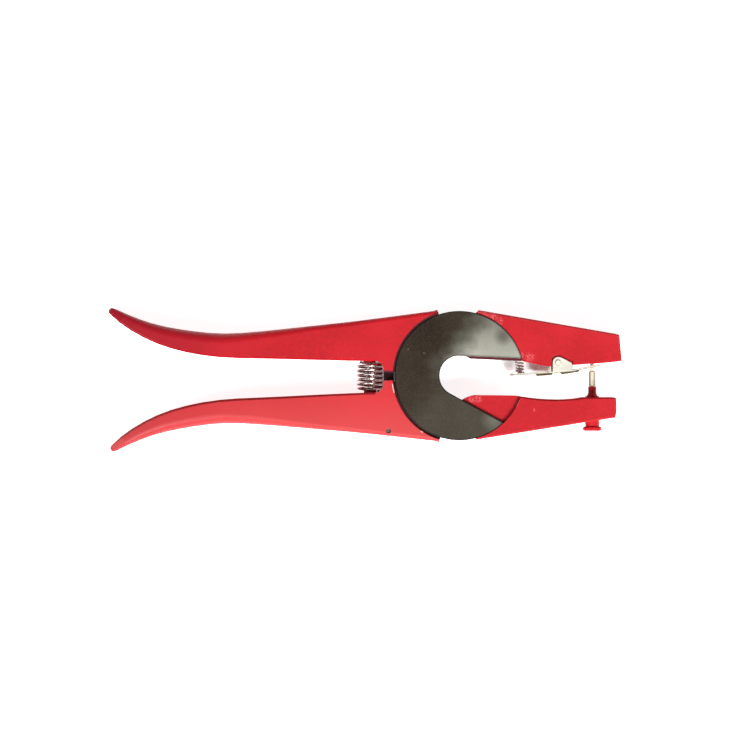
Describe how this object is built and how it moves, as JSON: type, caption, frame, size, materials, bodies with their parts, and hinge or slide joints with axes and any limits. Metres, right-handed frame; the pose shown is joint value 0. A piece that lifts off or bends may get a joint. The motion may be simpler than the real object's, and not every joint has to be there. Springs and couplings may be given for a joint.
{
  "type": "ear tag applicator",
  "caption": "Hand-held livestock ear tag applicator: crossed cast levers turning round an open throat, with a tagging needle, a sprung tag clip and a return spring.",
  "frame": {"origin": "on the axis that the levers turn about, at mid thickness, which is the centre of the round end of the throat between the side plates", "axes": "+X from the handles to the jaws, +Y from the needle's jaw to the clip's jaw, +Z across the thickness towards the front side plate"},
  "size_m": [0.25, 0.0701, 0.024],
  "materials": {
    "red_enamel": "satin baked enamel over a die casting",
    "dark_plate": "smooth blackened steel",
    "stud_steel": "riveted steel, ground flush",
    "spring_steel": "bright spring wire",
    "pin_brass": "yellow passivated steel",
    "bright_sheet": "nickel-plated sheet steel",
    "needle_steel": "polished stainless steel",
    "boot_red": "moulded dark red plastic"
  },
  "bodies": {
    "fixed": {"fixed_lever": "red_enamel", "front_side_plate": "dark_plate", "rear_side_plate": "dark_plate", "plate_stud_1": "stud_steel", "plate_stud_2": "stud_steel", "plate_stud_3": "stud_steel", "handle_spring": "spring_steel", "handle_roll_pin": "pin_brass", "clip_pivot_pin": "bright_sheet", "clip_spring": "spring_steel"},
    "moving": {"moving_lever": "red_enamel", "needle": "needle_steel", "needle_boot": "boot_red", "needle_holder": "red_enamel"},
    "tag_clip": {"clip": "bright_sheet"}
  },
  "joints": [
    {"name": "lever_hinge", "type": "hinge", "parent": "fixed", "child": "moving", "pos_m": [0, 0, 0], "axis": [0, 0, -1], "range_deg": [-5, 28], "stiffness_Nm_per_rad": 3, "deforming": ["handle_spring"]},
    {"name": "clip_hinge", "type": "hinge", "parent": "fixed", "child": "tag_clip", "pos_m": [0.04805, 0.0062, 0], "axis": [0, 0, -1], "range_deg": [0, 8], "stiffness_Nm_per_rad": 0.05, "deforming": ["clip_spring"]}
  ]
}
